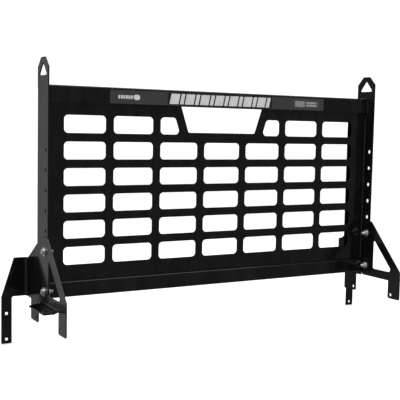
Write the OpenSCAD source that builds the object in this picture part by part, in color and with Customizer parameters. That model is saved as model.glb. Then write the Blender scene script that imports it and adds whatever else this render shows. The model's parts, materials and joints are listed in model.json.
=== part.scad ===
// Pickup headache rack: a window-cut sheet panel between two rails and two
// uprights, carried on two formed feet that sit on the bed rails.
// X runs across the truck, Y towards the cab, Z up. The origin lies midway
// between the feet, in the plane of the bed-rail tops, under the panel's face.

/* [Panel] */
// Window columns
window_columns = 7; // [5:2:9]
// Window rows
window_rows = 6; // [4:1:7]
// Width of a window
window_w = 170; // [130:1:210]
// Height of a window
window_h = 67.5; // [50:0.5:85]
// Metal between two windows, across
web_x = 33; // [24:1:45]
// Metal between two windows, up and down
web_z = 32.5; // [24:0.5:45]
// Corner radius of a window
window_corner = 16; // [6:1:20]
// Solid margin beside the outer columns
side_margin = 78; // [60:1:110]
// Solid margin above the top row
top_margin = 106; // [96:1:140]
// Solid margin below the bottom row
bottom_margin = 118.5; // [96:0.5:150]
// Sheet thickness of the panel
panel_t = 3; // [2:0.5:4]

/* [View opening] */
// Width of the short windows beside the opening, at their foot
short_window_w = 89.5; // [74:0.5:104]
// Metal between the opening and a short window
view_web = 38.7; // [30:0.1:48]
// How far each side leans out for every unit of height
view_lean = 0.335; // [0:0.005:0.4]
// Rise of the opening's foot above the top row's foot
view_foot_rise = 8.5; // [0:0.5:20]
// How far the opening runs up behind the top rail
view_cover = 12; // [4:1:20]
// Corner radius of the opening
view_corner = 8; // [2:1:12]

/* [Rails] */
// Height of the top rail's front leg
top_rail_leg = 65; // [50:1:80]
// Height of the bottom rail's front leg
bottom_rail_leg = 60; // [45:1:75]
// Distance that a rail's front leg stands before the panel
rail_front = 13; // [10:1:16]
// Distance that a rail's back stays clear of the uprights' bends
rail_gap = 10; // [2:1:20]
// Height of a rail's rear lip
rail_lip = 25; // [15:1:35]
// Sheet thickness of the rails
rail_t = 3; // [2:0.5:4]
// Inside bend radius of the rails
rail_bend = 3; // [2:0.5:5]
// Height of the rack's underside above the bed rails
rack_lift = 18; // [12:1:24]

/* [Uprights] */
// Depth of an upright, front to back
upright_depth = 114; // [95:1:137]
// Distance that an upright's middle stands behind the panel's face
upright_set = 2; // [0:1:6]
// Plate thickness of the uprights
upright_t = 4.8; // [4:0.1:6.4]
// Width of an upright's rear flange
flange_w = 49; // [35:1:65]
// Distance that the flange stands behind the plate's rear edge
flange_set = 6; // [0:0.5:8]
// Inside bend radius of the flange
flange_bend = 5; // [4:0.5:6]
// Distance that the flange stops below the top of the rack
flange_gap = 16; // [8:1:30]
// Height of the lifting eye above the rack
eye_h = 100; // [92:1:120]
// Height of the eye's slanted shoulders
eye_shoulder = 36; // [28:1:44]
// Width of the flat on top of the eye
eye_top_w = 42; // [34:1:56]
// Metal beside the eye's triangular hole, at its foot
eye_side = 13.5; // [12:0.5:20]
// Height of the eye's triangular hole
eye_hole_h = 48; // [36:1:52]
// Metal between the hole's apex and the top of the eye
eye_hole_cover = 18.5; // [16:0.5:24]
// Corner radius of the eye's hole
eye_hole_corner = 5; // [3:1:6]

/* [Bolt line] */
// Holes in each upright
line_holes = 8; // [6:1:9]
// Distance from one hole to the next
line_pitch = 75; // [66:1:80]
// Height of the lowest hole above the bed rails
line_low = 50; // [46:1:56]
// Distance of the hole line before the panel's face
line_front = 32.5; // [28:0.5:36]
// Hole that the upper foot bolt uses, counted from the lowest as 0
upper_bolt_hole = 2; // [1:1:2]
// Diameter of the bolt line's free holes, above the feet
free_hole_d = 17; // [13:0.5:18]
// Play of the bolts in their holes
hole_play = 1.6; // [0.8:0.1:2.4]

/* [Feet] */
// Plate thickness of the feet
foot_t = 4.8; // [4:0.1:6.4]
// Inside bend radius of the feet
foot_bend = 8; // [6:0.5:10]
// Height of the foot's side plate above the bed rails
foot_h = 256; // [244:1:290]
// Distance from the panel's face to the front of the foot
foot_front = 257; // [215:1:304]
// Distance from the panel's face to the rear plate
foot_back = 170; // [150:1:195]
// Height of the rear plate above the bed rails
rear_h = 152; // [130:1:170]
// Height at which the sloping front edge ends
slope_foot = 48; // [42:1:60]
// Distance that the foot's top runs before the upright
head_step = 5; // [2:1:12]
// Height of the bar under the foot's triangular opening
bar_h = 41; // [34:1:48]
// Width of the sloping strut before the triangular opening
strut_w = 38.5; // [30:0.5:46]
// Rear edge of the triangular opening, before the panel's face
brace_rear = 78; // [70:1:90]
// Corner radius of the triangular opening
brace_corner = 12; // [6:1:14]
// Width of the front leg
front_leg_w = 72; // [56:1:80]
// Drop of the front leg below the bed rails
front_leg_drop = 76; // [60:1:92]
// Front edge of the middle leg, behind the panel's face
mid_leg_front = 33; // [26:1:40]
// Width of the middle leg
mid_leg_w = 80; // [60:1:88]
// Drop of the middle leg below the bed rails
mid_leg_drop = 80; // [64:1:96]
// Reach of the outer leg beyond the side plate
outer_leg_reach = 98.8; // [84:0.1:116]
// Width of the outer leg
outer_leg_w = 41; // [32:1:46]
// Drop of the outer leg below the bed rails
outer_leg_drop = 184; // [150:1:220]
// Width of the rear plate along its top
rear_top_w = 49.4; // [40:0.1:60]
// Width of the seat shelf
shelf_w = 60; // [46:1:68]
// Front end of the seat shelf, before the panel's face
shelf_front = 198; // [176:1:220]
// Rear end of the seat shelf, before the panel's face
shelf_rear = 8; // [4:1:20]
// Distance from a leg's hole to the leg's end and edge
leg_hole_edge = 17; // [14:1:20]
// Distance between the outer leg's square holes
square_pitch = 101.6; // [80:0.1:120]
// Side of the outer leg's square holes
square_side = 11; // [9:0.5:14.5]

/* [Fasteners] */
// Diameter of the bolts
bolt_d = 12.7; // [10.6:0.1:15.3]
// Length of a bolt under its head
bolt_len = 38; // [34:1:50]
// Width across the flats of heads and nuts
hex_w = 19; // [18:0.5:20]
// Height of a bolt head
head_h = 8; // [7:0.5:9]
// Height of a nut
nut_h = 12; // [10:0.5:13]
// Outside diameter of the washers
washer_d = 35; // [28:1:38]
// Thickness of the washers
washer_t = 2.5; // [2:0.1:3]

/* [Decals] */
// Width of the decal strip
strip_w = 1030; // [600:1:1060]
// Thickness of the decals
decal_t = 0.3; // [0.2:0.1:0.5]
// Width of the left badge
left_badge_w = 112; // [80:1:140]
// Height of the left badge
left_badge_h = 28; // [16:1:32]
// Width of the right badge
right_badge_w = 136; // [90:1:160]
// Height of the right badge
right_badge_h = 32; // [16:1:32]
// Distance of each badge from its end of the strip
badge_inset = 26; // [10:1:40]

/* [Hidden] */
$fn = 48;

arc_steps = 8;      // straight steps in a rounded corner
through = 1;        // how far a cutter passes the face that it cuts
bore_gap = 0.4;     // washer bore over the bolt's radius
thread_gap = 0.05;  // nut bore over the bolt's radius
weld = 4.5;         // leg of the weld beads
weld_end = 6;       // how far a bead stops short of an edge
relief = 6;         // width of the slits beside the shelf's bend
plate_corner = 8;   // corner radius of the feet and uprights
small_corner = 4;
strip_edge = 3;     // distance from the decal strip to the rail's bend
bolt_holes = [0, upper_bolt_hole];

pitch_x = window_w + web_x;
pitch_z = window_h + web_z;
panel_half = window_columns * pitch_x / 2 - web_x / 2 + side_margin;
panel_low = rack_lift + rail_t;
grid_low = panel_low + bottom_margin;
top_row_low = grid_low + (window_rows - 1) * pitch_z;
panel_top = top_row_low + window_h + top_margin;
rack_top = panel_top + rail_t;
rail_edge = rack_top - top_rail_leg;

upright_in = panel_half;
upright_out = upright_in + upright_t;
foot_out = upright_out + foot_t;
upright_front = upright_set - upright_depth / 2;
upright_rear = upright_set + upright_depth / 2;
flange_rear = upright_rear + flange_set;
flange_flat = flange_rear - upright_t - flange_bend;    // rear end of an upright's flat plate
rail_back = flange_flat - rail_gap;
hole_d = bolt_d + hole_play;
slope_head = head_step - upright_front;
eye_top = rack_top + eye_h;

fold = foot_out + foot_bend;            // where the foot's flat flanges begin
fold_z = foot_t + foot_bend;            // where the shelf's bend ends on the side plate
leg_rear = -foot_front + front_leg_w;
mid_leg_rear = mid_leg_front + mid_leg_w;
shelf_end = -shelf_front + 14;          // front end of the shelf's bend
outer_edge = foot_out + outer_leg_reach;
bolt_heights = [for (i = bolt_holes) line_low + i * line_pitch];

// ---- shared geometry ----

function xy(p) = [p.x, p.y];
function unit(v) = v / norm(v);
function short_turn(a) = a > 180 ? a - 360 : a < -180 ? a + 360 : a;
function arc_at(before, at, after, r) =
    let (u = unit(before - at),
         w = unit(after - at),
         half = acos(u * w) / 2,
         centre = at + unit(u + w) * r / sin(half),
         from = at + u * r / tan(half) - centre,
         to = at + w * r / tan(half) - centre,
         start = atan2(from.y, from.x),
         swing = short_turn(atan2(to.y, to.x) - start))
    [for (i = [0 : arc_steps])
        centre + r * [cos(start + swing * i / arc_steps), sin(start + swing * i / arc_steps)]];

// Closed outline through points [x, y, radius], each corner rounded by its radius
module outline(points) {
    n = len(points);
    polygon([for (i = [0 : n - 1])
        each points[i].z == 0
            ? [xy(points[i])]
            : arc_at(xy(points[(i + n - 1) % n]), xy(points[i]), xy(points[(i + 1) % n]), points[i].z)]);
}

// Rectangle w by h with its lower left corner at the origin and true arc corners
module rounded_rect(w, h, r) {
    translate([r, 0]) square([w - 2 * r, h]);
    translate([0, r]) square([w, h - 2 * r]);
    for (x = [r, w - r], y = [r, h - r]) translate([x, y]) circle(r);
}

// Plate whose outline is drawn in Y and Z, from x to x + t
module side_plate(x, t) {
    translate([x, 0, 0]) rotate([90, 0, 90]) linear_extrude(t) children();
}

// Plate whose outline is drawn in X and Z, from y to y + t
module face_plate(y, t) {
    translate([0, y + t, 0]) rotate([90, 0, 0]) linear_extrude(t) children();
}

// Quarter ring of bent plate round the Z axis, in the first quadrant
module bend(r, t, length) {
    rotate_extrude(angle = 90) translate([r, 0]) square([t, length]);
}

module left() {
    mirror([1, 0, 0]) children();
}

// ---- panel and rails ----

module window(column, row) {
    translate([-panel_half + side_margin + column * pitch_x, grid_low + row * pitch_z])
        rounded_rect(window_w, window_h, window_corner);
}

view_foot_z = top_row_low + view_foot_rise;
view_top_z = rail_edge + view_cover;
view_strip = view_web * norm([1, view_lean]);
short_window_outer = 3 * pitch_x / 2 - web_x / 2;
function view_side(z) =
    short_window_outer - short_window_w - view_strip + (z - top_row_low) * view_lean;

module view_opening() {
    outline([
        [-view_side(view_foot_z), view_foot_z, view_corner],
        [view_side(view_foot_z), view_foot_z, view_corner],
        [view_side(view_top_z), view_top_z, view_corner],
        [-view_side(view_top_z), view_top_z, view_corner]
    ]);
}

// Short window beside the view opening, its inner side parallel to the opening's
module short_window() {
    top_row_top = top_row_low + window_h;
    outline([
        [short_window_outer, top_row_low, window_corner],
        [short_window_outer, top_row_top, window_corner],
        [view_side(top_row_top) + view_strip, top_row_top, window_corner],
        [view_side(top_row_low) + view_strip, top_row_low, window_corner]
    ]);
}

module window_panel() {
    middle = (window_columns - 1) / 2;
    color("#1c1c1e") face_plate(0, panel_t) difference() {
        translate([-panel_half, panel_low]) square([2 * panel_half, panel_top - panel_low]);
        for (row = [0 : window_rows - 2], column = [0 : window_columns - 1]) window(column, row);
        for (column = [0 : window_columns - 1])
            if (abs(column - middle) > 1) window(column, window_rows - 1);
        view_opening();
        short_window();
        mirror([1, 0]) short_window();
    }
}

module quarter_ring() {
    intersection() {
        difference() {
            circle(rail_bend + rail_t);
            circle(rail_bend);
        }
        square(rail_bend + rail_t);
    }
}

// Channel section in Y and Z, its flange's outer face at 0 and its legs downwards
module rail_section(leg) {
    turn = rail_bend + rail_t;
    translate([-rail_front, -leg]) square([rail_t, leg - turn]);
    translate([turn - rail_front, -turn]) mirror([1, 0]) quarter_ring();
    translate([turn - rail_front, -rail_t]) square([rail_front + rail_back - 2 * turn, rail_t]);
    translate([rail_back - turn, -turn]) quarter_ring();
    translate([rail_back - rail_t, -rail_lip]) square([rail_t, rail_lip - turn]);
}

// Return at the foot of a front leg, bent back to the panel's face
module rail_return(leg) {
    turn = rail_bend + rail_t;
    translate([turn - rail_front, turn - leg]) rotate(180) quarter_ring();
    translate([turn - rail_front, -leg]) square([rail_front - turn, rail_t]);
}

module top_rail() {
    color("#1f1f21") side_plate(-panel_half, 2 * panel_half)
        translate([0, rack_top]) rail_section(top_rail_leg);
}

module bottom_rail() {
    turn = rail_bend + rail_t;
    color("#1f1f21") side_plate(-panel_half, 2 * panel_half)
        translate([0, rack_lift]) mirror([0, 1]) {
            difference() {
                rail_section(bottom_rail_leg);
                translate([-rail_front, -bottom_rail_leg]) square([rail_t, turn]);
            }
            rail_return(bottom_rail_leg);
        }
}

// ---- uprights ----

module eye_hole() {
    top = eye_top - eye_hole_cover;
    outline([
        [upright_front + eye_side, top - eye_hole_h, eye_hole_corner],
        [upright_rear - eye_side, top - eye_hole_h, eye_hole_corner],
        [upright_set, top, eye_hole_corner]
    ]);
}

module upright() {
    flange_top = rack_top - flange_gap;
    side_plate(upright_in, upright_t) difference() {
        outline([
            [upright_front, rack_lift, small_corner],
            [flange_flat, rack_lift, 0],
            [flange_flat, flange_top, 0],
            [upright_rear, flange_top, small_corner],
            [upright_rear, eye_top - eye_shoulder, small_corner],
            [upright_set + eye_top_w / 2, eye_top, small_corner],
            [upright_set - eye_top_w / 2, eye_top, small_corner],
            [upright_front, eye_top - eye_shoulder, small_corner]
        ]);
        eye_hole();
        for (i = [0 : line_holes - 1]) {
            z = line_low + i * line_pitch;
            translate([-line_front, z]) circle(d = z > max(bolt_heights) ? free_hole_d : hole_d);
        }
    }
    translate([upright_in - flange_bend, flange_flat, rack_lift])
        bend(flange_bend, upright_t, flange_top - rack_lift);
    translate([upright_in - flange_w, flange_rear - upright_t, rack_lift])
        cube([flange_w - flange_bend, upright_t, flange_top - rack_lift]);
}

module right_upright() {
    color("#242426") upright();
}

module left_upright() {
    color("#242426") left() upright();
}

// ---- feet ----

slope_run = [slope_head - foot_front, slope_foot - foot_h];
slope_rise = slope_run.y / slope_run.x;
strut_drop = strut_w * norm([1, slope_rise]);

// Height of the strut's inner edge at a distance before the panel's face
function strut_z(front) = foot_h + (slope_head - front) * slope_rise - strut_drop;
// Distance before the panel's face at which the strut's inner edge meets a height
function strut_front(z) = slope_head + (foot_h - strut_drop - z) / slope_rise;

module foot_side() {
    difference() {
        outline([
            [-foot_front, -front_leg_drop, plate_corner],
            [leg_rear, -front_leg_drop, plate_corner],
            [leg_rear, fold_z, relief / 2],
            [relief - shelf_rear, fold_z, relief / 2],
            [relief - shelf_rear, 0, small_corner],
            [mid_leg_front, 0, small_corner],
            [mid_leg_front, -mid_leg_drop, plate_corner],
            [mid_leg_rear, -mid_leg_drop, plate_corner],
            [mid_leg_rear, 0, plate_corner],
            [foot_back - foot_bend, 0, 0],
            [foot_back - foot_bend, rear_h, 0],
            [foot_back - foot_bend - plate_corner, rear_h, plate_corner],
            [-plate_corner, foot_h, plate_corner],
            [-slope_head, foot_h, 2 * plate_corner],
            [-foot_front, slope_foot, plate_corner]
        ]);
        outline([
            [-brace_rear, bar_h, plate_corner],
            [-strut_front(bar_h), bar_h, brace_corner],
            [-brace_rear, strut_z(brace_rear), plate_corner]
        ]);
        for (z = bolt_heights) translate([-line_front, z]) circle(d = hole_d);
        translate([leg_rear - leg_hole_edge, leg_hole_edge - front_leg_drop]) circle(d = hole_d);
        translate([mid_leg_front + leg_hole_edge, leg_hole_edge - mid_leg_drop]) circle(d = hole_d);
    }
}

module rear_plate() {
    leg_in = outer_edge - outer_leg_w;
    difference() {
        outline([
            [fold, 0, 0],
            [leg_in, 0, plate_corner],
            [leg_in, -outer_leg_drop, small_corner],
            [outer_edge, -outer_leg_drop, small_corner],
            [outer_edge, 0, plate_corner],
            [foot_out + rear_top_w, rear_h, small_corner],
            [fold, rear_h, 0]
        ]);
        for (i = [0, 1])
            translate([outer_edge - outer_leg_w / 2, leg_hole_edge - outer_leg_drop + i * square_pitch])
                square(square_side, center = true);
    }
}

module seat_shelf() {
    tip = foot_out + shelf_w;
    linear_extrude(foot_t) outline([
        [fold, -shelf_rear, 0],
        [tip, -shelf_rear - shelf_w / 2, small_corner],
        [tip, -shelf_front, small_corner],
        [fold + 10, -shelf_front, small_corner],
        [fold, shelf_end, 0]
    ]);
}

module foot() {
    side_plate(upright_out, foot_t) foot_side();
    translate([fold, foot_back - foot_bend, 0])
        rotate([0, 0, 90]) bend(foot_bend, foot_t, rear_h);
    face_plate(foot_back, foot_t) rear_plate();
    translate([fold, -shelf_rear, fold_z])
        rotate([90, 0, 0]) rotate([0, 0, 180]) bend(foot_bend, foot_t, -shelf_rear - shelf_end);
    seat_shelf();
}

module right_foot() {
    color("#262628") foot();
}

module left_foot() {
    color("#262628") left() foot();
}

// ---- welds ----

// Bead of length l along Z, filling the corner towards -X and -Y
module bead(l) {
    rotate([0, 0, 180]) rotate_extrude(angle = 90) square([weld, l]);
}

module panel_weld() {
    low = rack_lift + bottom_rail_leg + weld_end;
    translate([panel_half, 0, low]) bead(rail_edge - weld_end - low);
}

// Bead along a rail's front leg, for a rail whose legs point down
module leg_weld(leg) {
    translate([panel_half, -rail_front, -leg]) bead(leg - rail_bend - rail_t);
}

// Bead over a rail's flange
module flange_weld() {
    turn = rail_bend + rail_t;
    translate([panel_half, turn - rail_front, 0]) rotate([-90, 0, 0])
        bead(rail_front + rail_back - 2 * turn);
}

module right_panel_weld() {
    color("#3a3a3d") panel_weld();
}

module left_panel_weld() {
    color("#3a3a3d") left() panel_weld();
}

module top_rail_welds() {
    color("#3a3a3d") translate([0, 0, rack_top]) {
        leg_weld(top_rail_leg);
        flange_weld();
        left() leg_weld(top_rail_leg);
        left() flange_weld();
    }
}

module bottom_rail_welds() {
    color("#3a3a3d") translate([0, 0, rack_lift]) mirror([0, 0, 1]) {
        flange_weld();
        left() flange_weld();
    }
}

// ---- fasteners ----

// Places its children at each foot bolt, with Z pointing outwards along the bolt
module at_bolts(x) {
    for (z = bolt_heights)
        translate([x, -line_front, z]) rotate([0, 90, 0]) children();
}

module hexagon(h) {
    linear_extrude(h) circle(d = hex_w / cos(30), $fn = 6);
}

module bolts() {
    at_bolts(foot_out + washer_t) {
        hexagon(head_h);
        translate([0, 0, -bolt_len]) cylinder(d = bolt_d, h = bolt_len);
    }
}

module washers(x) {
    at_bolts(x) difference() {
        cylinder(d = washer_d, h = washer_t);
        translate([0, 0, -through])
            cylinder(r = bolt_d / 2 + bore_gap, h = washer_t + 2 * through);
    }
}

module lock_nuts() {
    at_bolts(upright_in - washer_t - nut_h) difference() {
        hexagon(nut_h);
        translate([0, 0, -through])
            cylinder(r = bolt_d / 2 + thread_gap, h = nut_h + 2 * through);
    }
}

module right_bolts() {
    color("#c8cacc") bolts();
}

module left_bolts() {
    color("#c8cacc") left() bolts();
}

module right_outer_washers() {
    color("#c8cacc") washers(foot_out);
}

module left_outer_washers() {
    color("#c8cacc") left() washers(foot_out);
}

module right_inner_washers() {
    color("#c8cacc") washers(upright_in - washer_t);
}

module left_inner_washers() {
    color("#c8cacc") left() washers(upright_in - washer_t);
}

module right_lock_nuts() {
    color("#c8cacc") lock_nuts();
}

module left_lock_nuts() {
    color("#c8cacc") left() lock_nuts();
}

// ---- decals ----

strip_h = top_rail_leg - rail_bend - rail_t - strip_edge - small_corner;
decal_z = rail_edge + small_corner + strip_h / 2;

// Decal of size [w, h] centred at x, its layer counted outwards from the rail
module decal(x, size, layer, r) {
    face_plate(-rail_front - (layer + 1) * decal_t, decal_t)
        translate([x - size.x / 2, decal_z - size.y / 2]) rounded_rect(size.x, size.y, r);
}

module decal_strip() {
    color("#3c3d40") decal(0, [strip_w, strip_h], 0, small_corner);
}

module left_badge_decal() {
    color("#d8dadc")
        decal(-strip_w / 2 + badge_inset + left_badge_w / 2, [left_badge_w, left_badge_h], 1,
            left_badge_h / 2 - through);
}

module right_badge_decal() {
    color("#a9abae")
        decal(strip_w / 2 - badge_inset - right_badge_w / 2, [right_badge_w, right_badge_h], 1,
            small_corner);
}

window_panel();
top_rail();
bottom_rail();
left_upright();
right_upright();
left_foot();
right_foot();
left_panel_weld();
right_panel_weld();
top_rail_welds();
bottom_rail_welds();
left_bolts();
right_bolts();
left_outer_washers();
right_outer_washers();
left_inner_washers();
right_inner_washers();
left_lock_nuts();
right_lock_nuts();
decal_strip();
left_badge_decal();
right_badge_decal();
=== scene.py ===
"""Pickup headache rack: powder coated plates, weld beads, zinc fasteners and plain vinyl decals."""

import json
import math

import bpy
from bpy.props import FloatProperty, FloatVectorProperty, IntProperty, PointerProperty
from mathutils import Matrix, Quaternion, Vector

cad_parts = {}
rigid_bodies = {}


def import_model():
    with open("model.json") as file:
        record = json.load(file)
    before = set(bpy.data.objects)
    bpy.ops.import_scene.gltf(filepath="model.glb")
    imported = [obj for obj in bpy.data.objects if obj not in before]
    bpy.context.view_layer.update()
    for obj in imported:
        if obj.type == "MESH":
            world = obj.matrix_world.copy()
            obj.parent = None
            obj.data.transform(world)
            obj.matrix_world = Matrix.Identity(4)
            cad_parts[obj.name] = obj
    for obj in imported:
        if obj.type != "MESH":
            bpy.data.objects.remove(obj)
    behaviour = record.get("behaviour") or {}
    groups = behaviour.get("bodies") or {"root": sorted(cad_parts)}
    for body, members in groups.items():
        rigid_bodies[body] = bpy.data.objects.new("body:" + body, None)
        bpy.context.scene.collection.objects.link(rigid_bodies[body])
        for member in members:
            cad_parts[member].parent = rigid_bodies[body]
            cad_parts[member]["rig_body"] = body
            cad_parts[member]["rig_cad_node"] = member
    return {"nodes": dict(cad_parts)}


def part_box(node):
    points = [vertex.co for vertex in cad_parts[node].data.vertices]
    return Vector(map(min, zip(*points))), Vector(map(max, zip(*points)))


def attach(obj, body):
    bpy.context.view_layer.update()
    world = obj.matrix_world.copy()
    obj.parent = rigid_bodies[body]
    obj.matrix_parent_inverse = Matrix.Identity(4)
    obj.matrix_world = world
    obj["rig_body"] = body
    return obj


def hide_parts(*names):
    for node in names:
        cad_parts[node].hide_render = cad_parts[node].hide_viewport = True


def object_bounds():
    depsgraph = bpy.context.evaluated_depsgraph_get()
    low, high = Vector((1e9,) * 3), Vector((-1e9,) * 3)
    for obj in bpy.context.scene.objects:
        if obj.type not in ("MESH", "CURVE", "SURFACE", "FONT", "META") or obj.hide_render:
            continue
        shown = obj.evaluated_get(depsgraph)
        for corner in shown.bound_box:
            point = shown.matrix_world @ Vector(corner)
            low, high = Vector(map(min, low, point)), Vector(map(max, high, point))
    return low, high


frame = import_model()
cad_low, cad_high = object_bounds()

bl_info = {
    "name": "Headache Rack",
    "version": (1, 0, 0),
    "blender": (4, 5, 0),
    "location": "View3D > Sidebar > Rack",
    "description": "Builds the finished looks of a pickup headache rack around its CAD frame",
    "category": "Object",
}

MM = 0.001
SIDES = {"left": -1, "right": 1}


# ---------------------------------------------------------------- settings


class RackCoatSettings(bpy.types.PropertyGroup):
    """Powder coat on the plates."""

    color: FloatVectorProperty(
        name="Coat Color", description="Colour of the powder coat",
        default=(0.0016, 0.0016, 0.0018), subtype="COLOR", min=0, max=1,
    )
    worn_color: FloatVectorProperty(
        name="Rubbed Color", description="Colour of the coat where hands and straps have polished it",
        default=(0.0042, 0.0041, 0.0042), subtype="COLOR", min=0, max=1,
    )
    roughness: FloatProperty(
        name="Roughness", description="Roughness of the coat", default=0.12,
        min=0, max=1, subtype="FACTOR",
    )
    grain: FloatProperty(
        name="Orange Peel", description="Size of the ripples in the baked powder",
        default=2.2 * MM, min=0.2 * MM, unit="LENGTH",
    )
    edge_radius: FloatProperty(
        name="Edge Radius", description="Rounding that the coat leaves on cut edges",
        default=0.6 * MM, min=0.1 * MM, max=1.5 * MM, unit="LENGTH",
    )


class RackWeldSettings(bpy.types.PropertyGroup):
    """Weld beads."""

    ripple: FloatProperty(
        name="Ripple", description="Distance from one ripple of a bead to the next",
        default=3.2 * MM, min=1 * MM, unit="LENGTH",
    )
    ripple_depth: FloatProperty(
        name="Ripple Depth", description="How deep the valleys are, as a share of the bead's leg",
        default=0.12, min=0, max=0.4, subtype="FACTOR",
    )


class RackFastenerSettings(bpy.types.PropertyGroup):
    """Bolts, lock nuts and washers."""

    zinc: FloatVectorProperty(
        name="Zinc Color", description="Colour of the bright zinc plating",
        default=(0.80, 0.81, 0.82), subtype="COLOR", min=0, max=1,
    )
    nylon: FloatVectorProperty(
        name="Nylon Color", description="Colour of the lock nut's ring",
        default=(0.55, 0.57, 0.58), subtype="COLOR", min=0, max=1,
    )
    thread_pitch: FloatProperty(
        name="Thread Pitch", description="Distance from one thread to the next",
        default=1.95 * MM, min=1 * MM, unit="LENGTH",
    )
    thread_depth: FloatProperty(
        name="Thread Depth", description="Depth of the thread",
        default=0.95 * MM, min=0.3 * MM, unit="LENGTH",
    )
    chamfer: FloatProperty(
        name="Chamfer", description="Height of the turned chamfer on heads and nuts",
        default=1.3 * MM, min=0.3 * MM, unit="LENGTH",
    )
    collar: FloatProperty(
        name="Collar", description="Height of the lock nut's round collar",
        default=3.2 * MM, min=1 * MM, unit="LENGTH",
    )


class RackDecalSettings(bpy.types.PropertyGroup):
    """Plain vinyl graphics on the top rail."""

    strip: FloatVectorProperty(
        name="Strip Color", description="Colour of the decal strip",
        default=(0.026, 0.0265, 0.028), subtype="COLOR", min=0, max=1,
    )
    ink: FloatVectorProperty(
        name="Ink Color", description="Colour of the dark field behind the bars",
        default=(0.006, 0.006, 0.008), subtype="COLOR", min=0, max=1,
    )
    silver: FloatVectorProperty(
        name="Silver Color", description="Colour of the silver vinyl",
        default=(0.50, 0.51, 0.52), subtype="COLOR", min=0, max=1,
    )
    pewter: FloatVectorProperty(
        name="Pewter Color", description="Colour of the right badge's stripes",
        default=(0.24, 0.245, 0.25), subtype="COLOR", min=0, max=1,
    )
    badge: FloatVectorProperty(
        name="Badge Color", description="Colour of the right badge's ground",
        default=(0.042, 0.043, 0.045), subtype="COLOR", min=0, max=1,
    )
    blocks: IntProperty(
        name="Blocks", description="Groups of slanted bars along the middle of the strip",
        default=7, min=1, max=12,
    )
    wide_share: FloatProperty(
        name="Wide Share", description="Share of a block's width that its wide bar takes",
        default=0.58, min=0.3, max=0.7, subtype="FACTOR",
    )
    field_start: FloatProperty(
        name="Field Start", description="Left end of the bars", default=-261 * MM, unit="LENGTH",
    )
    field_end: FloatProperty(
        name="Field End", description="Right end of the bars", default=233 * MM, unit="LENGTH",
    )
    bar_height: FloatProperty(
        name="Bar Height", description="Height of the bars", default=41 * MM, unit="LENGTH",
    )
    slant: FloatProperty(
        name="Slant", description="How far a bar's top stands to the right of its foot",
        default=9 * MM, unit="LENGTH",
    )
    film: FloatProperty(
        name="Film", description="Thickness of a vinyl layer", default=0.2 * MM,
        min=0.05 * MM, unit="LENGTH",
    )


class RackStageSettings(bpy.types.PropertyGroup):
    """Camera, floor and light."""

    aim: FloatVectorProperty(
        name="Aim", description="Point that the camera looks at",
        default=(-0.10085, 0, 0.37241), subtype="TRANSLATION", unit="LENGTH",
    )
    distance: FloatProperty(
        name="Distance", description="Distance from the camera to that point",
        default=3.43466, unit="LENGTH",
    )
    azimuth: FloatProperty(
        name="Azimuth", description="Turn of the camera's line to the right of straight ahead",
        default=math.radians(30.198), subtype="ANGLE",
    )
    dip: FloatProperty(
        name="Dip", description="How far the camera looks down",
        default=math.radians(4.867), subtype="ANGLE",
    )
    roll: FloatProperty(
        name="Roll", description="Tilt of the camera about its own line",
        default=math.radians(1.170), subtype="ANGLE",
    )
    lens: FloatProperty(
        name="Lens", description="Focal length on a 36 mm sensor", default=75.05, unit="CAMERA",
    )
    overhead_rise: FloatProperty(
        name="Overhead Rise", description="Height of the overhead light above the rack",
        default=2.2, unit="LENGTH",
    )
    overhead_watts: FloatProperty(
        name="Overhead Power", description="Power of the overhead light in watts", default=90, min=0,
    )
    side_watts: FloatProperty(
        name="Side Power", description="Power of the light at the left in watts", default=3.2, min=0,
    )
    paper_glow: FloatProperty(
        name="Paper Glow", description="Brightness of the white paper all round", default=1.2, min=0,
    )
    room_glow: FloatProperty(
        name="Room Glow", description="Brightness of the dim room that shiny surfaces mirror",
        default=0.2, min=0,
    )
    floor: FloatProperty(
        name="Floor", description="Width of the floor", default=40, unit="LENGTH",
    )


# ---------------------------------------------------------------- selection and modelling helpers


def deselect_all():
    if bpy.context.mode != "OBJECT":
        bpy.ops.object.mode_set(mode="OBJECT")
    bpy.ops.object.select_all(action="DESELECT")


def activate(piece):
    deselect_all()
    piece.select_set(True)
    bpy.context.view_layer.objects.active = piece


def edit(piece, elements="VERT"):
    """Opens edit mode on one piece with all of its mesh selected."""
    activate(piece)
    bpy.ops.object.mode_set(mode="EDIT")
    bpy.ops.mesh.select_mode(type=elements)
    bpy.ops.mesh.select_all(action="SELECT")


def pick_faces(piece, wanted):
    """Opens edit mode with just the faces selected for which wanted(centre, normal) is true."""
    edit(piece, "FACE")
    bpy.ops.mesh.select_all(action="DESELECT")
    bpy.ops.object.mode_set(mode="OBJECT")
    for face in piece.data.polygons:
        face.select = wanted(face.center, face.normal)
    bpy.ops.object.mode_set(mode="EDIT")


def pick_points(piece, wanted):
    """Opens edit mode with just the vertices selected for which wanted(place) is true."""
    edit(piece, "VERT")
    bpy.ops.mesh.select_all(action="DESELECT")
    bpy.ops.object.mode_set(mode="OBJECT")
    for vertex in piece.data.vertices:
        vertex.select = wanted(vertex.co)
    bpy.ops.object.mode_set(mode="EDIT")


def close_edit():
    bpy.ops.object.mode_set(mode="OBJECT")


def face_outwards(piece):
    edit(piece)
    bpy.ops.mesh.remove_doubles(threshold=1e-6)
    bpy.ops.mesh.normals_make_consistent(inside=False)
    close_edit()


def add_modifier(piece, kind, **values):
    """Adds a modifier, sets it and applies it."""
    modifier = piece.modifiers.new(kind.lower(), kind)
    for key, value in values.items():
        setattr(modifier, key, value)
    activate(piece)
    bpy.ops.object.modifier_apply(modifier=modifier.name)


def smooth(piece, angle=35):
    activate(piece)
    bpy.ops.object.shade_smooth_by_angle(angle=math.radians(angle))


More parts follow.
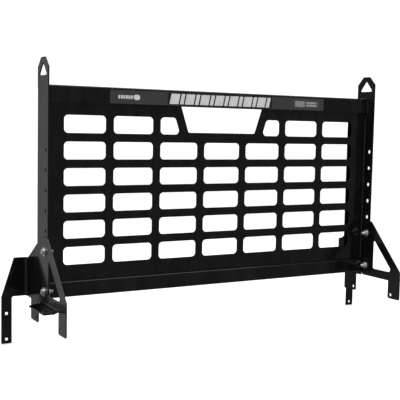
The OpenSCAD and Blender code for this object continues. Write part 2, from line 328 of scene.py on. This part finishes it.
def bake_place(piece):
    """Moves the piece's place, turn and size into its mesh."""
    activate(piece)
    bpy.ops.object.transform_apply(location=True, rotation=True, scale=True)


def named(piece, name):
    piece.name = name
    piece.data.name = name
    return piece


def own_copy(piece, name):
    activate(piece)
    bpy.ops.object.duplicate()
    return named(bpy.context.object, name)


def mirrored_copy(piece, name):
    """A copy on the other side of X = 0, its faces outwards."""
    twin = own_copy(piece, name)
    twin.scale = (-1, 1, 1)
    bake_place(twin)
    face_outwards(twin)
    return twin


def lathe(name, profile, sides, ends="capped"):
    """A turned part about Z through rings of (radius, height). Its ends are capped, open, or looped
    back to the first ring, which leaves a bore."""
    deselect_all()
    radius, height = profile[0]
    fill = "NGON" if ends == "capped" else "NOTHING"
    bpy.ops.mesh.primitive_circle_add(
        vertices=sides, radius=radius, fill_type=fill, location=(0, 0, height)
    )
    part = named(bpy.context.object, name)
    bake_place(part)
    edit(part)
    rings = profile[1:] + (profile[:1] if ends == "looped" else [])
    for next_radius, next_height in rings:
        bpy.ops.mesh.extrude_region_move(
            TRANSFORM_OT_translate={"value": (0, 0, next_height - height)}
        )
        grow = next_radius / radius
        bpy.ops.transform.resize(value=(grow, grow, 1), center_override=(0, 0, next_height))
        radius, height = next_radius, next_height
    close_edit()
    face_outwards(part)
    return part


def cut_hexagon(part, across_flats, reach):
    """Keeps what lies inside a hexagonal bar about Z with two corners on X."""
    deselect_all()
    bpy.ops.mesh.primitive_cylinder_add(
        vertices=6, radius=across_flats / 2 / math.cos(math.pi / 6), depth=2 * reach,
        rotation=(0, 0, math.pi / 2),
    )
    bar = bpy.context.object
    bake_place(bar)
    add_modifier(part, "BOOLEAN", operation="INTERSECT", solver="EXACT", object=bar)
    bpy.data.objects.remove(bar)


def hand_over(piece, slot, *nodes, materials=()):
    """Gives a finished piece its materials and its body, and hides the CAD nodes that it stands for. The
    slot argument is not used.
    """
    for material in materials:
        piece.data.materials.append(material)
    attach(piece, "root")
    if nodes:
        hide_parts(*nodes)


# ---------------------------------------------------------------- material helpers


def new_material(name):
    """A node material with its tree, its Principled shader and its Object coordinates."""
    material = bpy.data.materials.new(name)
    material.use_nodes = True
    tree = material.node_tree
    shader = tree.nodes["Principled BSDF"]
    coords = tree.nodes.new("ShaderNodeTexCoord").outputs["Object"]
    return material, tree, shader, coords


def noise(tree, coords, scale, detail=2.0, stretch=(1, 1, 1)):
    """Noise with that many cells to the metre, stretched along an axis where asked."""
    mapping = tree.nodes.new("ShaderNodeMapping")
    mapping.inputs["Scale"].default_value = stretch
    texture = tree.nodes.new("ShaderNodeTexNoise")
    texture.inputs["Scale"].default_value = scale
    texture.inputs["Detail"].default_value = detail
    tree.links.new(coords, mapping.inputs["Vector"])
    tree.links.new(mapping.outputs["Vector"], texture.inputs["Vector"])
    return texture.outputs["Fac"]


def spread(tree, value, low, high, to_low, to_high):
    """Maps low to high onto to_low to to_high, clamped."""
    node = tree.nodes.new("ShaderNodeMapRange")
    for key, number in zip(("From Min", "From Max", "To Min", "To Max"), (low, high, to_low, to_high)):
        node.inputs[key].default_value = number
    tree.links.new(value, node.inputs["Value"])
    return node.outputs["Result"]


def blend_colors(tree, share, first, second):
    node = tree.nodes.new("ShaderNodeMix")
    node.data_type = "RGBA"
    node.inputs["A"].default_value = (*first, 1)
    node.inputs["B"].default_value = (*second, 1)
    tree.links.new(share, node.inputs["Factor"])
    return node.outputs["Result"]


def add_bump(tree, shader, heights):
    """Chains one Bump node for each (height, distance, strength)."""
    normal = None
    for height, distance, strength in heights:
        node = tree.nodes.new("ShaderNodeBump")
        node.inputs["Distance"].default_value = distance
        node.inputs["Strength"].default_value = strength
        tree.links.new(height, node.inputs["Height"])
        if normal is not None:
            tree.links.new(normal, node.inputs["Normal"])
        normal = node.outputs["Normal"]
    tree.links.new(normal, shader.inputs["Normal"])


def powder_coat(name, painted_light_lift=1.0, rougher=0.0):
    """Black baked powder: orange peel, slow drifts of gloss and faint rubbed patches. Its colour is scaled
    by a factor that paints light: parts that catch more light get a lighter copy of the same coat.
    """
    coat = bpy.context.scene.rack_coat
    material, tree, shader, coords = new_material(name)
    peel = noise(tree, coords, 1 / coat.grain, 3)
    dust = noise(tree, coords, 5 / coat.grain, 2)
    drift = noise(tree, coords, 6, 3)
    rubbed = noise(tree, coords, 22, 5, (1, 1, 0.35))
    # Painted light: a factor above 1 lightens the coat and its rubbed colour for parts that look brighter
    # under the lights.
    color = blend_colors(
        tree, spread(tree, rubbed, 0.42, 0.72, 0, 1),
        [painted_light_lift * c for c in coat.color], [painted_light_lift * c for c in coat.worn_color],
    )
    tree.links.new(color, shader.inputs["Base Color"])
    rough = coat.roughness + rougher
    tree.links.new(spread(tree, drift, 0.35, 0.68, rough - 0.03, rough + 0.04), shader.inputs["Roughness"])
    shader.inputs["Specular IOR Level"].default_value = 0.45
    add_bump(tree, shader, [(peel, 0.03 * MM, 0.35), (dust, 0.008 * MM, 0.25)])
    return material


def weld_coat():
    """Powder over a weld: lumpy, with fine spatter."""
    coat = bpy.context.scene.rack_coat
    material, tree, shader, coords = new_material("coated_weld")
    lumps = noise(tree, coords, 420, 3)
    spatter = noise(tree, coords, 1500, 2)
    color = blend_colors(
        tree, spread(tree, lumps, 0.35, 0.7, 0, 1), coat.color, [2.2 * c for c in coat.color]
    )
    tree.links.new(color, shader.inputs["Base Color"])
    tree.links.new(spread(tree, lumps, 0.3, 0.7, 0.24, 0.38), shader.inputs["Roughness"])
    shader.inputs["Specular IOR Level"].default_value = 0.4
    add_bump(tree, shader, [(lumps, 0.3 * MM, 0.4), (spatter, 0.05 * MM, 0.3)])
    return material


def zinc_plate(name):
    """Bright zinc: faint crystal patches, a warm and cool cast and fine tool marks."""
    settings = bpy.context.scene.rack_fasteners
    material, tree, shader, coords = new_material(name)
    patches = noise(tree, coords, 240, 3)
    marks = noise(tree, coords, 900, 2, (0.15, 1, 1))
    warm = [c * k for c, k in zip(settings.zinc, (1.0, 0.97, 0.90))]
    cool = [c * k for c, k in zip(settings.zinc, (0.93, 0.97, 1.04))]
    color = blend_colors(tree, spread(tree, patches, 0.35, 0.65, 0, 1), warm, cool)
    tree.links.new(color, shader.inputs["Base Color"])
    shader.inputs["Metallic"].default_value = 1
    tree.links.new(spread(tree, patches, 0.3, 0.7, 0.20, 0.38), shader.inputs["Roughness"])
    add_bump(tree, shader, [(marks, 0.04 * MM, 0.4)])
    return material


def nylon_ring():
    """Milky nylon with light showing through it."""
    settings = bpy.context.scene.rack_fasteners
    material, tree, shader, coords = new_material("lock_ring_nylon")
    clouds = noise(tree, coords, 600, 2)
    color = blend_colors(
        tree, spread(tree, clouds, 0.3, 0.7, 0, 1), settings.nylon, [0.85 * c for c in settings.nylon]
    )
    tree.links.new(color, shader.inputs["Base Color"])
    shader.inputs["Roughness"].default_value = 0.42
    shader.inputs["Subsurface Weight"].default_value = 0.15
    shader.inputs["Subsurface Scale"].default_value = 1 * MM
    add_bump(tree, shader, [(clouds, 0.05 * MM, 0.3)])
    return material


def vinyl(name, color, roughness, sparkle=0.0):
    """Printed vinyl film: fine grain, slight unevenness and, in silver film, small flakes."""
    material, tree, shader, coords = new_material(name)
    grain = noise(tree, coords, 2600, 2)
    tone = noise(tree, coords, 35, 3)
    made = blend_colors(
        tree, spread(tree, tone, 0.35, 0.7, 0, 1), color, [c * 0.86 for c in color]
    )
    tree.links.new(made, shader.inputs["Base Color"])
    shader.inputs["Metallic"].default_value = sparkle
    tree.links.new(
        spread(tree, grain, 0.3, 0.7, roughness - 0.05, roughness + 0.08), shader.inputs["Roughness"]
    )
    add_bump(tree, shader, [(grain, 0.02 * MM, 0.25)])
    return material


# ---------------------------------------------------------------- coated plates


def coated_copy(node, name):
    """The CAD plate's own shape as one merged mesh, its cut edges rounded as the coat rounds them."""
    activate(frame["nodes"][node])
    bpy.ops.object.duplicate()
    piece = named(bpy.context.object, name)
    bpy.ops.object.parent_clear(type="CLEAR_KEEP_TRANSFORM")
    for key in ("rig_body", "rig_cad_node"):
        del piece[key]
    piece.data.materials.clear()
    edit(piece)
    bpy.ops.mesh.remove_doubles(threshold=0.005 * MM)
    bpy.ops.mesh.dissolve_limited(angle_limit=math.radians(0.6))
    bpy.ops.mesh.mark_sharp(clear=True)
    close_edit()
    if piece.data.has_custom_normals:
        bpy.ops.mesh.customdata_custom_splitnormals_clear()
    add_modifier(
        piece, "BEVEL", width=bpy.context.scene.rack_coat.edge_radius, segments=2,
        limit_method="ANGLE", angle_limit=math.radians(40), use_clamp_overlap=True,
    )
    smooth(piece)
    add_modifier(piece, "WEIGHTED_NORMAL", mode="FACE_AREA", weight=80, keep_sharp=True)
    return piece


class RACK_OT_window_panel(bpy.types.Operator):
    """Make the window-cut sheet panel"""

    bl_idname = "rack.window_panel"
    bl_label = "Window Panel"

    def execute(self, context):
        panel = coated_copy("window_panel", "coated_window_panel")
        hand_over(panel, "panel_coat", "window_panel", materials=[powder_coat("panel_powder")])
        return {"FINISHED"}


class RACK_OT_rails(bpy.types.Operator):
    """Make the formed top and bottom rails"""

    bl_idname = "rack.rails"
    bl_label = "Rails"

    def execute(self, context):
        # Painted light: the rails get a 15 % lighter copy of the same coat for the extra light that they
        # catch.
        coat = powder_coat("rail_powder", painted_light_lift=1.15)
        for node in ("top_rail", "bottom_rail"):
            hand_over(coated_copy(node, "formed_" + node), "panel_coat", node, materials=[coat])
        return {"FINISHED"}


class RACK_OT_uprights(bpy.types.Operator):
    """Make the two flanged uprights with their lifting eyes"""

    bl_idname = "rack.uprights"
    bl_label = "Uprights"

    def execute(self, context):
        # Painted light: the uprights get a 10 % lighter copy of the same coat for the extra light that they
        # catch.
        coat = powder_coat("upright_powder", painted_light_lift=1.1)
        for side in SIDES:
            node = side + "_upright"
            hand_over(coated_copy(node, side + "_flanged_upright"), "frame_coat", node, materials=[coat])
        return {"FINISHED"}


class RACK_OT_feet(bpy.types.Operator):
    """Make the two folded feet that sit on the bed rails"""

    bl_idname = "rack.feet"
    bl_label = "Feet"

    def execute(self, context):
        coat = powder_coat("foot_powder", painted_light_lift=1.0, rougher=0.03)
        for side in SIDES:
            node = side + "_foot"
            hand_over(coated_copy(node, side + "_folded_foot"), "frame_coat", node, materials=[coat])
        return {"FINISHED"}


# ---------------------------------------------------------------- weld beads


def bead(name, leg, length):
    """A rippled bead along Z that fills the corner towards -X and -Y, its root on the Z axis."""
    settings = bpy.context.scene.rack_welds
    ripples = max(2, round(length / settings.ripple))
    pitch = length / ripples
    valley = 1 - settings.ripple_depth
    deselect_all()
    bpy.ops.mesh.primitive_circle_add(vertices=24, radius=leg * valley, fill_type="NGON")
    part = named(bpy.context.object, name)
    edit(part)
    for normal in ((1, 0, 0), (0, 1, 0)):
        bpy.ops.mesh.select_all(action="SELECT")
        bpy.ops.mesh.bisect(plane_co=(0, 0, 0), plane_no=normal, clear_outer=True)
    close_edit()
    edit(part)
    for rise, grow in ((0.25, 1.07), (0.3, 1.0 / valley / 1.07), (0.3, 0.95), (0.15, valley / 0.95)):
        bpy.ops.mesh.extrude_region_move(TRANSFORM_OT_translate={"value": (0, 0, rise * pitch)})
        bpy.ops.transform.resize(value=(grow, grow, 1), center_override=(0, 0, 0))
    close_edit()
    face_outwards(part)
    pick_faces(part, lambda centre, normal: abs(normal.z) > 0.99)
    bpy.ops.mesh.delete(type="ONLY_FACE")
    close_edit()
    add_modifier(
        part, "ARRAY", count=ripples, use_relative_offset=False, use_constant_offset=True,
        constant_offset_displace=(0, 0, pitch), use_merge_vertices=True, merge_threshold=0.01 * MM,
    )
    for end, scale in ((0, 0.72), (length, 0.72)):
        pick_points(part, lambda place: abs(place.z - end) < 0.05 * pitch)
        bpy.ops.transform.resize(value=(scale, scale, 1), center_override=(0, 0, end))
        close_edit()
    edit(part)
    bpy.ops.mesh.fill_holes(sides=0)
    close_edit()
    face_outwards(part)
    return part


def joined(pieces, name):
    activate(pieces[0])
    for other in pieces[1:]:
        other.select_set(True)
    bpy.ops.object.join()
    return named(bpy.context.object, name)


class RACK_OT_welds(bpy.types.Operator):
    """Lay the rippled weld beads along the panel's sides and round the rails' ends"""

    bl_idname = "rack.welds"
    bl_label = "Weld Beads"

    def execute(self, context):
        coat = weld_coat()
        low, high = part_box("right_panel_weld")
        leg = high.x - low.x
        along = bead("right_panel_bead", leg, high.z - low.z)
        along.location = (high.x, high.y, low.z)
        bake_place(along)
        self.both_sides(along, "panel_bead", {side: side + "_panel_weld" for side in SIDES}, coat)

        under_low, under_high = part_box("bottom_rail_welds")
        under = bead("under_bead", leg, under_high.y - under_low.y)
        under.rotation_euler = (math.pi / 2, 0, 0)
        under.location = (under_high.x, under_high.y, under_high.z)
        bake_place(under)
        self.both_sides(under, "bottom_rail_bead", dict.fromkeys(SIDES, "bottom_rail_welds"), coat)

        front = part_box("top_rail")[0].y
        turn = under_low.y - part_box("bottom_rail")[0].y
        over_low, over_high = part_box("top_rail_welds")
        flange = over_high.z - leg
        over = bead("over_bead", leg, over_high.y - front - turn)
        over.rotation_euler = (-math.pi / 2, 0, 0)
        over.location = (over_high.x, front + turn, flange)
        bake_place(over)
        down = bead("down_bead", leg, flange - turn - over_low.z)
        down.location = (over_high.x, front, over_low.z)
        bake_place(down)
        top = joined([over, down], "top_bead")
        self.both_sides(top, "top_rail_bead", dict.fromkeys(SIDES, "top_rail_welds"), coat)
        return {"FINISHED"}

    def both_sides(self, right, name, nodes, coat):
        """Finishes a bead on the right and its twin on the left."""
        smooth(right, 50)
        left = mirrored_copy(right, "left_" + name)
        smooth(left, 50)
        hand_over(named(right, "right_" + name), "weld_coat", nodes["right"], materials=[coat])
        hand_over(left, "weld_coat", nodes["left"], materials=[coat])


# ---------------------------------------------------------------- fasteners


def bolt_line(side):
    """Depth and heights of that side's two bolts, and the corner radius of their heads."""
    low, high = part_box(side + "_bolts")
    corner = (high.y - low.y) / 2 / math.cos(math.pi / 6)
    return (low.y + high.y) / 2, {"lower": low.z + corner, "upper": high.z - corner}, corner


def set_out(part, name, side, x, y, z, outwards=True):
    """A copy of a part made along Z, laid along X at its place, its +Z outwards from the rack or inwards."""
    piece = own_copy(part, name)
    turn = SIDES[side] * (1 if outwards else -1) * math.pi / 2
    piece.rotation_euler = (0, turn, 0)
    piece.location = (x, y, z)
    bake_place(piece)
    smooth(piece, 32)
    return piece


def threads(radius, start, end):
    """Rings of a thread from one height up to another."""
    settings = bpy.context.scene.rack_fasteners
    root = radius - settings.thread_depth
    turns = int((end - start) / settings.thread_pitch)
    pitch = (end - start) / turns
    rings = []
    for turn in range(turns):
        base = start + turn * pitch
        rings += [(root, base), (radius, base + 0.42 * pitch), (radius, base + 0.58 * pitch)]
    return rings + [(root, end)]


class RACK_OT_bolts(bpy.types.Operator):
    """Turn the hex bolts that clamp the feet to the uprights"""

    bl_idname = "rack.bolts"
    bl_label = "Hex Bolts"

    def execute(self, context):
        settings = context.scene.rack_fasteners
        y, heights, corner = bolt_line("right")
        low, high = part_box("right_bolts")
        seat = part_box("right_outer_washers")[1].x
        head = high.x - seat
        length = seat - low.x
        shank = 6.35 * MM
        flats = (high.y - low.y) / 2
        profile = [(shank - 1.6 * MM, -length), (shank - settings.thread_depth, 0.8 * MM - length)]
        profile += threads(shank, 0.8 * MM - length, -8 * MM)
        profile += [
            (shank, -7.5 * MM), (shank, 0), (flats * 0.96, 0), (flats * 0.96, 0.5 * MM),
            (corner * 1.02, 0.5 * MM), (corner * 1.02, head - settings.chamfer),
            (flats * 0.94, head), (flats * 0.74, head), (flats * 0.70, head - 0.35 * MM),
        ]
        bolt = lathe("hex_bolt", profile, 48)
        cut_hexagon(bolt, 2 * flats, 2 * length)
        zinc = zinc_plate("bolt_zinc")
        for side, sign in SIDES.items():
            for row, z in heights.items():
                piece = set_out(bolt, f"{side}_{row}_bolt", side, sign * seat, y, z)
                hand_over(piece, "zinc", side + "_bolts", materials=[zinc])
        bpy.data.objects.remove(bolt)
        return {"FINISHED"}


class RACK_OT_washers(bpy.types.Operator):
    """Press the flat washers on both faces of each joint"""

    bl_idname = "rack.washers"
    bl_label = "Flat Washers"

    def execute(self, context):
        y, heights = bolt_line("right")[:2]
        zinc = zinc_plate("washer_zinc")
        low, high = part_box("right_outer_washers")
        outside = (high.y - low.y) / 2
        thick = high.x - low.x
        bore = 6.75 * MM
        burr = 0.35 * MM
        washer = lathe("flat_washer", [
            (bore + burr, 0), (outside - 2 * burr, 0), (outside - 0.5 * burr, burr),
            (outside, 2 * burr), (outside, thick - burr), (outside - burr, thick),
            (bore + burr, thick), (bore, thick - burr), (bore, burr),
        ], 64, "looped")
        for side, sign in SIDES.items():
            for place in ("outer", "inner"):
                node = f"{side}_{place}_washers"
                low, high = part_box(node)
                outwards = place == "outer"
                near = min(abs(low.x), abs(high.x))
                x = near if outwards else near + thick
                for row, z in heights.items():
                    name = f"{side}_{row}_{place}_washer"
                    piece = set_out(washer, name, side, sign * x, y, z, outwards)
                    hand_over(piece, "zinc", node, materials=[zinc])
        bpy.data.objects.remove(washer)
        return {"FINISHED"}


class RACK_OT_lock_nuts(bpy.types.Operator):
    """Turn the lock nuts with their collars and nylon rings"""

    bl_idname = "rack.lock_nuts"
    bl_label = "Lock Nuts"

    def execute(self, context):
        settings = context.scene.rack_fasteners
        y, heights, corner = bolt_line("right")
        low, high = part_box("right_lock_nuts")
        tall = high.x - low.x
        flats = (high.y - low.y) / 2
        seat = high.x
        hexagon = tall - settings.collar
        bore = 6.4 * MM
        lip = 7.3 * MM
        ring = 2.2 * MM
        nut = lathe("lock_nut", [
            (bore + 0.8 * MM, 0), (flats * 0.97, 0), (corner * 1.02, settings.chamfer),
            (corner * 1.02, hexagon - settings.chamfer), (flats * 0.97, hexagon),
            (flats * 0.90, hexagon), (flats * 0.89, tall - 1.1 * MM), (flats * 0.84, tall - 0.3 * MM),
            (flats * 0.80, tall), (lip, tall), (lip, tall - 0.7 * MM), (bore - 0.2 * MM, tall - 0.7 * MM),
            (bore - 0.2 * MM, tall - 0.7 * MM - ring), (bore, tall - 0.8 * MM - ring), (bore, 0.8 * MM),
        ], 48, "looped")
        cut_hexagon(nut, 2 * flats, 2 * tall)
        zinc, nylon = zinc_plate("nut_zinc"), nylon_ring()
        nut.data.materials.append(zinc)
        nut.data.materials.append(nylon)
        for face in nut.data.polygons:
            radius = math.hypot(face.center.x, face.center.y)
            face.material_index = int(radius < lip - 0.1 * MM and face.center.z > tall - 0.9 * MM - ring)
        for side, sign in SIDES.items():
            for row, z in heights.items():
                piece = set_out(nut, f"{side}_{row}_lock_nut", side, sign * seat, y, z, outwards=False)
                hand_over(piece, "zinc", side + "_lock_nuts")
        bpy.data.objects.remove(nut)
        return {"FINISHED"}


# ---------------------------------------------------------------- decals


def film_sheet(name, low, high, back, thick, corner=0.0, slant=0.0):
    """Vinyl from (x, z) low to (x, z) high, its back at Y = back, with round corners or slanted ends."""
    deselect_all()
    width, height = high[0] - low[0], high[1] - low[1]
    bpy.ops.mesh.primitive_plane_add(size=1, rotation=(math.pi / 2, 0, 0))
    sheet = named(bpy.context.object, name)
    sheet.scale = (width, height, 1)
    sheet.location = ((low[0] + high[0]) / 2, back, (low[1] + high[1]) / 2)
    bake_place(sheet)
    if corner > 0:
        edit(sheet)
        bpy.ops.mesh.bevel(offset=corner, offset_type="OFFSET", segments=8, affect="VERTICES")
        close_edit()
    if slant:
        pick_points(sheet, lambda place: place.z > (low[1] + high[1]) / 2)
        bpy.ops.transform.translate(value=(slant, 0, 0))
        close_edit()
    edit(sheet)
    bpy.ops.mesh.extrude_region_move(TRANSFORM_OT_translate={"value": (0, -thick, 0)})
    close_edit()
    face_outwards(sheet)
    return sheet


class RACK_OT_decals(bpy.types.Operator):
    """Lay the decal strip, its plain slanted bars and the two badges"""

    bl_idname = "rack.decals"
    bl_label = "Decals"

    def execute(self, context):
        settings = context.scene.rack_decals
        film = settings.film
        strip_low, strip_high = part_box("decal_strip")
        middle = (strip_low.z + strip_high.z) / 2
        front = strip_low.y
        dark = vinyl("strip_vinyl", settings.strip, 0.36)
        ink = vinyl("ink_vinyl", settings.ink, 0.30)
        silver = vinyl("silver_vinyl", settings.silver, 0.42, 0.25)
        strip = film_sheet(
            "decal_strip_film", (strip_low.x, strip_low.z), (strip_high.x, strip_high.z),
            strip_high.y, strip_high.y - strip_low.y, 4 * MM,
        )
        hand_over(strip, "decal_grey", "decal_strip", materials=[dark])
        half = settings.bar_height / 2
        border = 4 * MM
        field = film_sheet(
            "dark_bar_field", (settings.field_start - border, middle - half - border),
            (settings.field_end + border, middle + half + border), front, film, 3 * MM,
        )
        hand_over(field, "decal_grey", materials=[ink])
        self.slanted_bars(middle, front - film, silver)
        self.left_badge(silver, dark)
        pewter = vinyl("pewter_vinyl", settings.pewter, 0.42, 0.2)
        self.right_badge(pewter, vinyl("badge_vinyl", settings.badge, 0.36))
        return {"FINISHED"}

    def slanted_bars(self, middle, back, silver):
        """Blocks along the strip, each a wide and a narrow slanted bar."""
        settings = bpy.context.scene.rack_decals
        half = settings.bar_height / 2
        block = (settings.field_end - settings.field_start - settings.slant) / settings.blocks
        gap = 0.09 * block
        wide = settings.wide_share * block
        bars = []
        for count in range(settings.blocks):
            start = settings.field_start + count * block + gap / 2
            for low, high in ((start, start + wide), (start + wide + gap, start + block - gap)):
                bars.append(film_sheet(
                    "bar", (low, middle - half), (high, middle + half), back, settings.film,
                    slant=settings.slant,
                ))
        hand_over(joined(bars, "silver_slanted_bars"), "decal_silver", materials=[silver])

    def left_badge(self, silver, dark):
        """A dark pill with upright silver bars and a silver lozenge at its right."""
        film = bpy.context.scene.rack_decals.film
        low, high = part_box("left_badge_decal")
        wide, tall = high.x - low.x, high.z - low.z
        badge = film_sheet(
            "left_badge_film", (low.x, low.z), (high.x, high.z), high.y, high.y - low.y, tall / 2 - 1 * MM
        )
        hand_over(badge, "decal_grey", "left_badge_decal", materials=[dark])
        bars, bar_pitch, bar_width, bar_margin = 6, 0.095 * wide, 0.065 * wide, 0.26 * tall
        first_bar = low.x + 0.07 * wide
        lozenge_margin = 0.14 * tall
        marks = []
        for count in range(bars):
            x = first_bar + bar_pitch * count
            marks.append(film_sheet(
                "mark", (x, low.z + bar_margin), (x + bar_width, high.z - bar_margin), low.y, film,
                slant=2 * MM,
            ))
        marks.append(film_sheet(
            "mark", (high.x - 0.34 * wide, low.z + lozenge_margin),
            (high.x - 0.10 * wide, high.z - lozenge_margin), low.y, film, 8 * MM,
        ))
        hand_over(joined(marks, "left_badge_marks"), "decal_silver", materials=[silver])

    def right_badge(self, silver, dark):
        """A grey plate with a striped panel and two plain bars."""
        film = bpy.context.scene.rack_decals.film
        low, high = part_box("right_badge_decal")
        wide, tall = high.x - low.x, high.z - low.z
        badge = film_sheet(
            "right_badge_film", (low.x, low.z), (high.x, high.z), high.y, high.y - low.y, 4 * MM
        )
        hand_over(badge, "decal_silver", "right_badge_decal", materials=[dark])
        stripes, stripe_pitch, stripe_height = 4, 0.19 * tall, 0.13 * tall
        bar_height = 0.24 * tall
        marks = []
        for count in range(stripes):
            z = low.z + 0.15 * tall + stripe_pitch * count
            marks.append(film_sheet(
                "stripe", (low.x + 0.05 * wide, z), (low.x + 0.42 * wide, z + stripe_height), low.y, film,
            ))
        for z in (low.z + 0.20 * tall, low.z + 0.56 * tall):
            marks.append(film_sheet(
                "bar", (low.x + 0.48 * wide, z), (low.x + 0.90 * wide, z + bar_height), low.y, film, 2 * MM,
            ))
        hand_over(joined(marks, "right_badge_marks"), "decal_silver", materials=[silver])


# ---------------------------------------------------------------- stage


def soft_light(name, place, target, size, watts):
    deselect_all()
    bpy.ops.object.light_add(type="AREA", location=place)
    light = bpy.context.object
    light.name = name
    light.data.shape = "RECTANGLE"
    light.data.size, light.data.size_y = size
    light.data.energy = watts
    light.rotation_euler = (Vector(target) - Vector(place)).to_track_quat("-Z", "Y").to_euler()
    return light


def glow(tree, direction, vector, low, high, strength):
    """Brightness that rises smoothly as a direction turns towards the given one."""
    dot = tree.nodes.new("ShaderNodeVectorMath")
    dot.operation = "DOT_PRODUCT"
    dot.inputs[1].default_value = Vector(vector).normalized()
    tree.links.new(direction, dot.inputs[0])
    node = tree.nodes.new("ShaderNodeMapRange")
    node.interpolation_type = "SMOOTHSTEP"
    for key, number in zip(("From Min", "From Max", "To Min", "To Max"), (low, high, 0, strength)):
        node.inputs[key].default_value = number
    tree.links.new(dot.outputs["Value"], node.inputs["Value"])
    return node.outputs["Result"]


def studio_world(settings):
    """White paper all round to the eye and as soft fill, but a dim room with a bright ceiling
    in what shiny surfaces mirror."""
    world = bpy.data.worlds.new("studio")
    bpy.context.scene.world = world
    world.use_nodes = True
    tree = world.node_tree
    paper = tree.nodes["Background"]
    paper.inputs["Color"].default_value = (1, 1, 1, 1)
    paper.inputs["Strength"].default_value = settings.paper_glow
    direction = tree.nodes.new("ShaderNodeTexCoord").outputs["Generated"]
    ceiling = glow(tree, direction, (0, 0, 1), 0.45, 0.98, 0.9)
    flank = glow(tree, direction, (-0.93, -0.36, 0.1), 0.60, 0.98, 0.4)
    both = tree.nodes.new("ShaderNodeMath")
    both.operation = "ADD"
    tree.links.new(ceiling, both.inputs[0])
    tree.links.new(flank, both.inputs[1])
    total = tree.nodes.new("ShaderNodeMath")
    total.operation = "ADD"
    total.inputs[1].default_value = settings.room_glow
    tree.links.new(both.outputs["Value"], total.inputs[0])
    room = tree.nodes.new("ShaderNodeBackground")
    tree.links.new(total.outputs["Value"], room.inputs["Strength"])
    ray = tree.nodes.new("ShaderNodeLightPath")
    mix = tree.nodes.new("ShaderNodeMixShader")
    tree.links.new(ray.outputs["Is Glossy Ray"], mix.inputs["Fac"])
    tree.links.new(paper.outputs["Background"], mix.inputs[1])
    tree.links.new(room.outputs["Background"], mix.inputs[2])
    tree.links.new(mix.outputs["Shader"], tree.nodes["World Output"].inputs["Surface"])


class RACK_OT_stage(bpy.types.Operator):
    """Set up the camera, the pale floor and the soft studio light"""

    bl_idname = "rack.stage"
    bl_label = "Stage"

    def execute(self, context):
        settings = context.scene.rack_stage
        self.camera(settings)
        self.floor(settings)
        studio_world(settings)
        middle = (cad_low + cad_high) / 2
        left_middle = (cad_low.x, 0, middle.z)
        overhead = (middle.x, middle.y, cad_high.z + settings.overhead_rise)
        aside = (cad_low.x - 1.2, 1.6, middle.z)
        soft_light("overhead_light", overhead, middle, (5, 5), settings.overhead_watts)
        soft_light("side_light", aside, left_middle, (1.6, 2.4), settings.side_watts)
        context.scene.view_settings.view_transform = "Standard"
        return {"FINISHED"}

    def camera(self, settings):
        level = math.cos(settings.dip)
        forward = Vector((
            math.sin(settings.azimuth) * level, math.cos(settings.azimuth) * level, -math.sin(settings.dip),
        ))
        deselect_all()
        bpy.ops.object.camera_add(location=Vector(settings.aim) - forward * settings.distance)
        camera = bpy.context.object
        camera.name = "studio_camera"
        camera.rotation_mode = "QUATERNION"
        camera.rotation_quaternion = (
            forward.to_track_quat("-Z", "Y") @ Quaternion((0, 0, 1), settings.roll)
        )
        camera.data.sensor_width = 36
        camera.data.lens = settings.lens
        camera.data.dof.use_dof = False
        bpy.context.scene.camera = camera

    def floor(self, settings):
        deselect_all()
        bpy.ops.mesh.primitive_plane_add(size=settings.floor, location=(0, 0, cad_low.z))
        floor = named(bpy.context.object, "studio_floor")
        bake_place(floor)
        material, tree, shader, coords = new_material("floor_paper")
        fibre = noise(tree, coords, 60, 4)
        color = blend_colors(tree, fibre, (0.90, 0.90, 0.90), (0.94, 0.94, 0.94))
        tree.links.new(color, shader.inputs["Base Color"])
        shader.inputs["Roughness"].default_value = 0.9
        shader.inputs["Specular IOR Level"].default_value = 0.1
        floor.data.materials.append(material)
        floor.visible_glossy = False


# ---------------------------------------------------------------- panel and registration


OPERATORS = (
    RACK_OT_stage, RACK_OT_window_panel, RACK_OT_rails, RACK_OT_uprights, RACK_OT_feet,
    RACK_OT_welds, RACK_OT_bolts, RACK_OT_washers, RACK_OT_lock_nuts, RACK_OT_decals,
)
SETTINGS = {
    "rack_coat": RackCoatSettings,
    "rack_welds": RackWeldSettings,
    "rack_fasteners": RackFastenerSettings,
    "rack_decals": RackDecalSettings,
    "rack_stage": RackStageSettings,
}


class RACK_PT_build(bpy.types.Panel):
    """Lists the steps that build the rack, with their settings"""

    bl_idname = "RACK_PT_build"
    bl_label = "Headache Rack"
    bl_space_type = "VIEW_3D"
    bl_region_type = "UI"
    bl_category = "Rack"

    def draw(self, context):
        for operator in OPERATORS:
            self.layout.operator(operator.bl_idname)
        for key, group in SETTINGS.items():
            box = self.layout.box()
            for name in group.__annotations__:
                box.prop(getattr(context.scene, key), name)


def register():
    for group in SETTINGS.values():
        bpy.utils.register_class(group)
    for operator in OPERATORS:
        bpy.utils.register_class(operator)
    bpy.utils.register_class(RACK_PT_build)
    for key, group in SETTINGS.items():
        setattr(bpy.types.Scene, key, PointerProperty(type=group))


def unregister():
    for key in SETTINGS:
        delattr(bpy.types.Scene, key)
    for made in (RACK_PT_build, *OPERATORS, *SETTINGS.values()):
        bpy.utils.unregister_class(made)


def main():
    register()
    for operator in OPERATORS:
        step = operator.bl_idname.split(".")[1]
        getattr(bpy.ops.rack, step)()


if __name__ == "__main__":
    main()
